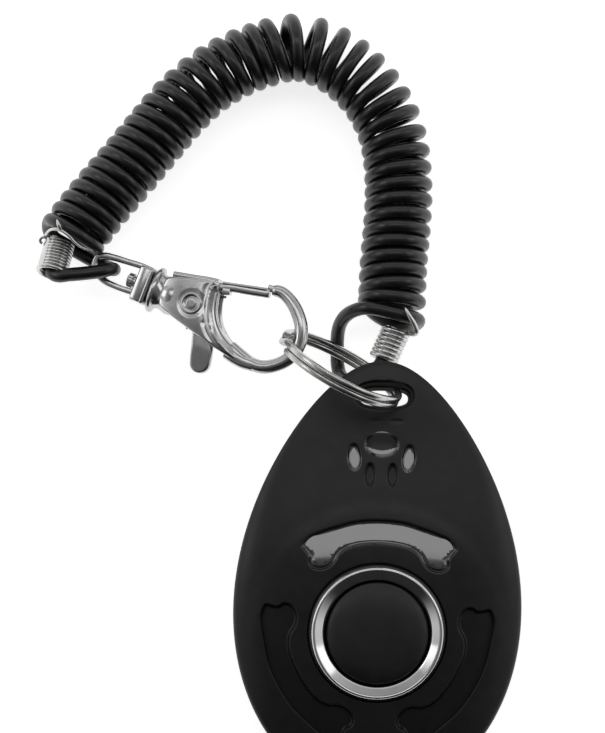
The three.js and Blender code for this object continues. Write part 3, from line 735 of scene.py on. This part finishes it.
SCREWS = [[0, 20.8], [-11.2, -14.0], [11.2, -14.0]]
pockets = [ell(x, y, 2.15, 2.15, 64) for x, y in SCREWS]
feats = [(scaled(edge, u), [0.0]) for u in ring_us] + [(p, [.15, .35]) for p in pockets]
Q, T = sheet2d(edge, [SLOT_LOW] + pockets, feats, fill=1.1, gap=.4)
parts = [(np.column_stack([Q, z_bottom(Q)]), [tuple(t)[::-1] for t in T])]
rim = [with_z(edge, BOTTOM_EDGE), with_z(edge, PART_Z - .27), with_z(offset(edge, -.07), PART_Z - .18), with_z(offset(edge, -.5), PART_Z - .16)]
parts.append(wall(rim))
parts.append(wall([with_z(SLOT_LOW, z_bottom(SLOT_LOW)), with_z(SLOT_LOW, PART_Z - .16)]))
for (x, y), p in zip(SCREWS, pockets):
    zp = z_bottom(p)
    seat = float(z_bottom(np.array([[x, y]]))[0]) + 1.6
    parts.append(wall([with_z(p, zp), with_z(p, seat), with_z(ell(x, y, 1.25, 1.25, 64), seat)]))
V, F = join(*parts)
piece("case_back", V, F, M_CASE, "case", ("back_cover",), angle=48, flip_check=False)


# -------------------------------------------------------------- button, bezel
def arc(cx, cy, r, a0, a1, n):
    return [(cx + r * math.cos(math.radians(a0 + (a1 - a0) * i / n)), cy + r * math.sin(math.radians(a0 + (a1 - a0) * i / n))) for i in range(n + 1)]


prof = [(8.6, 10.0), (8.7, 10.1), (8.7, 10.8), (8.6, 10.9), (7.5, 10.9), (7.45, 11.0), (7.45, 13.9), (7.45, 14.35)]
prof += arc(6.75, 14.35, .70, 8, 62, 8)
prof += [(6.6, 15.16), (6.0, 15.33), (5.2, 15.47), (4.2, 15.58), (3.0, 15.65), (1.6, 15.69), (0, 15.7)]
prof = [(0, 7.05), (1.4, 7.05), (1.5, 7.15), (1.5, 10.0)] + prof
V, F = lathe(prof, 160)
piece("push_button", V, F, M_BUTTON, "button", ("button",), angle=50)
prof = [(7.74, 11.5), (8.25, 11.5), (8.25, 13.15), (9.9, 13.15), (10.0, 13.25), (10.0, 14.02), (9.97, 14.12)]
prof += [(9.80, 14.46), (9.66, 14.72), (9.56, 14.86), (9.44, 14.94), (9.30, 14.95), (9.18, 14.90)]
prof += [(9.0, 14.81), (8.6, 14.61), (8.2, 14.41), (7.95, 14.285), (7.84, 14.21), (7.77, 14.10), (7.74, 13.95)]
V, F = lathe(prof, 220, closed=True)
piece("bezel_ring", V, F, M_CHROME, "case", ("button_ring",), angle=50)

# ---------------------------------------------------------------- split ring
KC, KR_, KAZ, KLEAN = np.array([-5.4, 38.8, 12.4]), 9.4, math.radians(-29), math.radians(13)
m_ = np.array([math.cos(KAZ), math.sin(KAZ), 0])
p_ = np.array([-math.sin(KAZ), math.cos(KAZ), 0])
q_ = -math.sin(KLEAN) * p_ + math.cos(KLEAN) * np.array([0, 0, 1.0])
n_ = np.cross(m_, q_)
JOG = math.radians(164)             # where the wire steps from one turn to the other
gap_a = math.radians(13)
phi = np.linspace(gap_a, 2 * PI2 - gap_a, 520)
off = .475 * np.tanh((phi - PI2) / (gap_a * .42))
rr = KR_ + 0 * phi
P = KC + (rr * np.cos(phi + JOG))[:, None] * m_ + (rr * np.sin(phi + JOG))[:, None] * q_ + off[:, None] * n_
RAD = (P - KC - off[:, None] * n_) / rr[:, None]
T_ = np.gradient(P, axis=0)
T_ /= np.linalg.norm(T_, axis=1)[:, None]
Bn = np.cross(T_, RAD)
sec = round_rect(1.12, .90, .30, 5)
sc = np.ones(len(P))
sc[0] = sc[-1] = .80
sc[1] = sc[-2] = .95
V, F = sweep(P, sec, RAD, Bn, scale=sc)
piece("split_ring_coil", lay(V), F, M_NICKEL, "ring", ("split_ring",), angle=50, weld=False)

# --------------------------------------------------------------------- clasp
RIVET = np.array([-26.96, 48.3, 8.0])
CAZ, CPITCH, SAZ = math.radians(-20), math.radians(13), math.radians(-21)
ca = np.array([math.cos(CAZ), math.sin(CAZ), 0])
cb = np.array([-math.sin(CAZ), math.cos(CAZ), 0])
cA = ca * math.cos(CPITCH) + np.array([0, 0, 1.0]) * math.sin(CPITCH)
cZ = np.array([0, 0, 1.0]) * math.cos(CPITCH) - ca * math.sin(CPITCH)


def rel(P):
    d = np.asarray(P, float)[:, :2] - RIVET[:2]
    k = (d @ ca[:2]) * (1 / math.cos(CPITCH) - 1)
    return d + k[:, None] * ca[:2]


def out(V):
    """Clasp's own frame to the row frame, in millimetres."""
    V = np.asarray(V, float)
    s, t, z_ = V @ ca, V @ cb, V[:, 2]
    return lay(RIVET + np.outer(s, cA) + np.outer(t, cb) + np.outer(z_, cZ))


def K(*pts):
    """Plan points of the clasp, on a working grid of 40.32 to the millimetre."""
    return rel([((100 + x / 6 - 376.5) / 6.72, (629 - 245 - y / 6) / 6.72) for x, y in pts])


def sw(P):
    """(s, v, z) along the swivel axis."""
    return rot2(np.asarray(P, float), SAZ)


D_IN = K((733, 300), (722, 360), (720, 420), (735, 490), (770, 555), (825, 615), (890, 660), (950, 685), (1010, 690))
plate = K((432, 193), (500, 198), (580, 207), (650, 216), (700, 224), (727, 236), (735, 262), (733, 300), (722, 360), (720, 420), (735, 490), (770, 555),
          (825, 615), (890, 660), (950, 686), (962, 712), (952, 748), (905, 748), (850, 722), (780, 675), (700, 618), (600, 546), (520, 488), (440, 428), (376, 376),
          (366, 350), (368, 315), (378, 275), (396, 232), (412, 204))
plate = spline(plate, 420, closed=True)


def plate_z(Q, sd):
    d = seg_dist(Q, spline(D_IN, 60), closed=False)
    s = Q @ ca[:2]
    t = Q @ cb[:2]
    base = 2.15 + (.98 - 2.15) * sstep(4.2, 10.2, s)
    # gentle crown across the plate, rolled edge
    z_ = base + .25 * (1 - (np.clip(t + .2, -5, 5) / 5) ** 2) * sstep(7, 3, s) - .0115 * np.minimum(s - 2.2, 0) ** 2
    e = np.clip(-sd, 0, .45)
    z_ -= .45 - np.sqrt(np.maximum(.45 ** 2 - (.45 - e) ** 2, 0))
    # rounded shoulder down to the opening, with a raised rib behind it
    f = np.clip(d, 0, 1.15) / 1.15
    z_ -= 1.05 * (1 - np.sqrt(np.maximum(1 - (1 - f) ** 2, 0))) * sstep(13, 9, s)
    z_ += .17 * np.exp(-((d - 1.25) / .26) ** 2) * sstep(12, 8, s)
    z_ -= .22 * np.exp(-((d - 1.95) / .40) ** 2) * sstep(7, 4, s)
    # shallow seat round the rivet, one small dimple
    rv = np.hypot(Q[:, 0], Q[:, 1])
    z_ -= .10 * sstep(2.25, 1.8, rv)
    dm = K((643, 475))[0]
    z_ -= .13 * np.exp(-(((Q[:, 0] - dm[0]) ** 2 + (Q[:, 1] - dm[1]) ** 2) / .035))
    return z_


feats = [(plate, [-.03, -.08, -.15, -.24, -.34, -.45, -.6]), (ell(0, 0, 2.0, 2.0, 90), [-.2, 0, .2])]
Q, T = sheet2d(plate, [], feats, fill=.26, gap=.04)
zt = plate_z(Q, -seg_dist(Q, plate))
body = [(np.column_stack([Q, zt]), [tuple(t) for t in T])]
zed = plate_z(plate, np.zeros(len(plate)))
low = np.full(len(plate), 1.30)
sP = plate @ ca[:2]
low = np.where(sP > 5.2, np.minimum(low, zed - .3), low)
low = low - 2.2 * sstep(5.0, 7.0, sP)
low = np.maximum(low, -1.0)
body.append(wall([np.column_stack([plate, zed]), np.column_stack([plate, zed - .12]), np.column_stack([plate, low])]))
Q2, T2 = Q, T
zu = np.interp(Q2 @ ca[:2], [-50, 5.0, 7.0, 50], [1.30, 1.30, -.9, -.9])
body.append((np.column_stack([Q2, zu]), [tuple(t)[::-1] for t in T2]))
# back plate
bp_ = K((432, 200), (580, 212), (700, 228), (735, 262), (733, 300), (722, 360), (720, 420), (735, 490), (770, 555), (800, 600), (770, 660), (700, 612), (600, 543), (520, 485), (440, 425),
        (376, 372), (368, 315), (396, 232))
bp_ = spline(bp_, 160, closed=True)
body.append(wall([np.column_stack([offset(bp_, -.25), np.full(160, -1.35)]), np.column_stack([bp_, np.full(160, -1.45)]), np.column_stack([bp_, np.full(160, -2.0)]),
                  np.column_stack([offset(bp_, -.25), np.full(160, -2.15)])]))
Qb, Tb = sheet2d(offset(bp_, -.25), [], [], fill=.8, gap=.3)
body.append((np.column_stack([Qb, np.full(len(Qb), -2.15)]), [tuple(t)[::-1] for t in Tb]))
body.append((np.column_stack([Qb, np.full(len(Qb), -1.35)]), [tuple(t) for t in Tb]))


def bar(line, section, up=(0, 0, 1), scale=None, n=80):
    P = even(spline(line, 300), n)
    T_, N_, B_ = transport(P, up)
    return sweep(P, section, N_, B_, scale=scale)


def z0(P2, z_=0.0):
    return np.column_stack([P2, np.full(len(P2), z_)])


# web along the top edge, a folded strip between the two plates
web = z0(K((450, 178), (500, 186), (580, 200), (660, 213), (722, 227)), -.45)
body.append(bar(web, round_rect(3.0, 1.05, .45), n=50))
# solid root of the hook between the plates
root = z0(K((772, 640), (815, 672), (865, 700), (925, 719)))
body.append(bar(root, round_rect(2.6, 2.35, .9), n=30, scale=np.linspace(1, .86, 31)))
# hook
hook_c = rel([[-21.6, 42.0], [-19.9, 40.5], [-18.6, 39.55], [-16.9, 39.05], [-15.0, 39.3], [-13.0, 40.3], [-11.55, 42.2], [-11.2, 44.8], [-11.75, 47.0],
              [-12.75, 48.8], [-14.0, 50.0], [-15.2, 50.4]])
hp = even(spline(z0(hook_c), 600), 150)
T_, N_, B_ = transport(hp)
hs = np.interp(np.linspace(0, 1, 151), [0, .12, .8, .985, 1], [1.0, 1.02, 1.0, .92, .80])
hsec = circle(1.06, 28)
hsec[:, 1] *= .97
body.append(sweep(hp, hsec, N_, B_, scale=hs))
# nose of the hook: a flat end with a small step that the gate bar rests in
tip = z0(rel([[-14.6, 50.35], [-15.3, 50.52], [-15.95, 50.72]]))
body.append(bar(tip, round_rect(1.35, 1.05, .3), n=12))


def turn_about_swivel(profile, seg, flat):
    """(s, r) profile turned about the swivel axis, flattened in z."""
    V_, F_ = lathe([(r_, s_) for s_, r_ in profile], seg)
    W = np.column_stack([V_[:, 2], V_[:, 0], V_[:, 1] * flat])
    return sw(W), F_


# neck: flange plate, waist, and the flare into the plates
V_, F_ = turn_about_swivel([(-6.85, 0), (-6.85, 2.9), (-6.80, 3.25), (-6.62, 3.45), (-6.38, 3.52), (-6.12, 3.45), (-5.98, 3.2), (-5.90, 2.85), (-5.5, 2.62), (-5.0, 2.6), (-4.5, 2.75),
                            (-3.9, 2.95), (-3.2, 2.9), (-3.0, 2.6), (-3.0, 0)], 72, .74)
body.append((V_, F_))
V, F = join(*body)
piece("clasp_shell", out(V), F, M_ZINC, "clasp", ("clasp_body",), angle=40, flip_check=False)

# rivet head: raised ring round a low dome
def rivet_prof(sgn):
    base = 2.23
    pr = [(0, base + .10), (.35, base + .10), (.62, base + .10), (.72, base + .09), (.80, base + .05), (.86, base - .02), (1.00, base - .03), (1.12, base + .03), (1.24, base + .17), (1.40, base + .22), (1.55, base + .17),
          (1.66, base + .04), (1.70, base - .12)]
    return [(r_, sgn * z_) for r_, z_ in pr]


pr = rivet_prof(1) + [(.72, 2.2), (.72, -2.2)] + [(r_, z_ - .0) for r_, z_ in rivet_prof(-1)[::-1]]
V, F = lathe(pr, 72)
piece("rivet", out(V), F, M_NICKEL, "clasp", ("gate_rivet",), angle=40)

# gate: bar, lever and trigger
lever = K((560, 300), (600, 290), (640, 320), (650, 400), (655, 480), (672, 560), (684, 620), (676, 680), (662, 730), (640, 757), (602, 770), (566, 758), (545, 728), (544, 690), (556, 600), (560, 500), (545, 420), (535, 350))
lever = spline(lever, 240, closed=True)
Q, T = sheet2d(lever, [], [(lever, [-.05, -.12, -.22, -.34])], fill=.4, gap=.05)
e = np.clip(seg_dist(Q, lever), 0, .34)
rnd = .34 - np.sqrt(np.maximum(.34 ** 2 - (.34 - e) ** 2, 0))
s_, t_ = Q @ ca[:2], Q @ cb[:2]
bend = -.55 * sstep(-5.5, -10.5, t_)
gate = [(np.column_stack([Q, .95 - rnd + bend]), [tuple(t) for t in T]), (np.column_stack([Q, -.35 + rnd * .8 + bend]), [tuple(t)[::-1] for t in T])]
bl = -.55 * sstep(-5.5, -10.5, lever @ cb[:2])
gate.append(wall([np.column_stack([lever, .61 + bl]), np.column_stack([lever, -.08 + bl])]))
gl = z0(K((640, 300), (700, 262), (745, 256), (800, 258), (880, 272), (960, 286), (1026, 297)), .30)
n_g = 70
gp = even(spline(gl, 300), n_g)
T_, N_, B_ = transport(gp)
gsec = round_rect(1.56, 1.42, .55, 7)
gs = np.interp(np.linspace(0, 1, n_g + 1), [0, .12, .2, .97, 1], [.72, .78, 1, 1, .9])
gate.append(sweep(gp, gsec, N_, B_, scale=gs))
# raised lip along the bar and its folded root
lip_ = z0(K((752, 232), (840, 246), (930, 259), (1012, 272)), .92)
gate.append(bar(lip_, circle(.27, 10), n=40))
knee = z0(K((748, 276), (772, 282), (792, 284)), .35)
gate.append(bar(knee, round_rect(1.5, 1.1, .25), n=8))
V, F = join(*gate)
piece("gate_lever", out(V), F, M_ZINC, "gate", ("clasp_gate",), angle=42, flip_check=False)

# swivel eye: bow, block with one ridge, stem
bow = rel([[-33.3, 53.35], [-34.6, 53.95], [-36.7, 54.6], [-38.9, 55.3], [-40.3, 55.6], [-41.3, 55.45], [-41.75, 54.7], [-41.6, 53.2], [-40.5, 51.9], [-38.6, 50.95], [-36.6, 50.25], [-34.4, 49.6]])
eye = [bar(z0(bow), round_rect(2.4, .95, .30, 4), n=150)]
blk = round_rect(5.5, 3.8, .42, 6)
ss = np.array([-9.42, -9.36, -9.2, -8.3, -7.35, -7.2, -7.15])
bs = np.array([.90, .96, 1, 1, 1, .97, .92])
Pb = np.column_stack([ss, 0 * ss, 0 * ss])
Nb = np.tile([0, 1.0, 0], (7, 1))
Bb = np.tile([0, 0, 1.0], (7, 1))
V_, F_ = sweep(Pb, blk, Nb, Bb, scale=bs)
eye.append((sw(V_), F_))
for sx in (-7.55,):                # one ridge round the block, next to the neck
    rg = round_rect(5.72, 4.02, .5, 6)
    Pb = np.column_stack([[sx - .2, sx - .1, sx + .1, sx + .2], np.zeros(4), np.zeros(4)])
    V_, F_ = sweep(Pb, rg, Nb[:4], Bb[:4], scale=np.array([.97, 1, 1, .97]))
    eye.append((sw(V_), F_))
# stub of the stem inside the bow
V_, F_ = turn_about_swivel([(-11.0, 0), (-11.0, .9), (-10.85, 1.1), (-10.1, 1.12), (-10.0, .85), (-9.3, .85), (-9.3, 0)], 36, 1.0)
eye.append((V_, F_))
V_, F_ = turn_about_swivel([(-7.2, 1.0), (-6.8, 1.0), (-4.7, 1.0), (-4.68, 1.4), (-3.95, 1.4), (-3.9, 0)], 36, 1.0)
eye.append((V_, F_))
V, F = join(*eye)
piece("swivel_bow", out(V), F, M_ZINC, "eye", ("swivel_eye",), angle=40)

# --------------------------------------------------------------------- stage
me = bpy.data.meshes.new("floor")
S = 3.0
me.from_pydata([(-S, -S, -.0001), (S, -S, -.0001), (S, S, -.0001), (-S, S, -.0001)], [], [(0, 1, 2, 3)])
me.materials.append(M_FLOOR)
floor = bpy.data.objects.new("floor", me)
bpy.context.scene.collection.objects.link(floor)

sc_ = bpy.context.scene
sc_.view_settings.view_transform = "Standard"
sc_.view_settings.look = "None"
world = bpy.data.worlds.new("studio")
sc_.world = world
world.use_nodes = True
nt = world.node_tree
bg = nt.nodes["Background"]
tc = nt.nodes.new("ShaderNodeTexCoord")
sep = nt.nodes.new("ShaderNodeSeparateXYZ")
nt.links.new(tc.outputs["Generated"], sep.inputs[0])
ramp = nt.nodes.new("ShaderNodeValToRGB")
el = ramp.color_ramp.elements
el[0].position, el[0].color = 0.0, (1.0, 1.0, 1.0, 1)
el[1].position, el[1].color = 1.0, (.17, .17, .17, 1)
for pos, v in ((.10, .85), (.34, .50), (.50, .60), (.56, .80), (.62, .78), (.67, .36), (.73, .28), (.81, .20), (.93, .16)):
    e_ = el.new(pos)
    e_.color = (v, v, v, 1)
nt.links.new(sep.outputs["Z"], ramp.inputs["Fac"])
# the front of the room is darker than its back and sides
mr = nt.nodes.new("ShaderNodeMapRange")
mr.interpolation_type = "SMOOTHSTEP"
mr.inputs["From Min"].default_value, mr.inputs["From Max"].default_value = -.62, -.18
mr.inputs["To Min"].default_value, mr.inputs["To Max"].default_value = .04, 1.0
nt.links.new(sep.outputs["Y"], mr.inputs["Value"])
mul = nt.nodes.new("ShaderNodeMath")
mul.operation = "MULTIPLY"
rb = nt.nodes.new("ShaderNodeRGBToBW")
nt.links.new(ramp.outputs["Color"], rb.inputs[0])
nt.links.new(rb.outputs[0], mul.inputs[0])
nt.links.new(mr.outputs["Result"], mul.inputs[1])
nt.links.new(mul.outputs[0], bg.inputs["Strength"])
bg.inputs["Color"].default_value = (1, 1, 1, 1)


def softbox(name, direction, dist, w, h, radiance, target=(-.012, .03, .005)):
    d = Vector(direction).normalized()
    L = bpy.data.lights.new(name, "AREA")
    L.shape, L.size, L.size_y, L.energy = "RECTANGLE", w, h, radiance * math.pi * w * h
    o = bpy.data.objects.new(name, L)
    o.location = Vector(target) + d * dist
    o.rotation_mode = "QUATERNION"
    o.rotation_quaternion = d.to_track_quat("Z", "Y")
    bpy.context.scene.collection.objects.link(o)
    return o


def off_zenith(deg, az):
    a, b_ = math.radians(deg), math.radians(az)
    return (math.sin(a) * math.cos(b_), math.sin(a) * math.sin(b_), math.cos(a))


softbox("top_box", off_zenith(22, 91), 1.0, 1.10, .30, 1.4)
softbox("left_box", off_zenith(58, 162), 1.1, .46, .42, 1.45)
softbox("right_box", off_zenith(58, 20), 1.1, .45, .60, .95)
softbox("back_box", off_zenith(66, 92), 1.2, 1.0, .35, .4)

cam = bpy.data.cameras.new("camera")
cam_o = bpy.data.objects.new("camera", cam)
bpy.context.scene.collection.objects.link(cam_o)
cam_o.location = (-.0120, .0388, .482)
cam_o.rotation_euler = (0, 0, LAY)
cam.lens, cam.sensor_width = 156.8, 36.0
cam.clip_start, cam.clip_end = .02, 20
bpy.context.scene.camera = cam_o

print("cord", round(CORD_LEN, 1), "mm, turns", round(TURNS, 2))
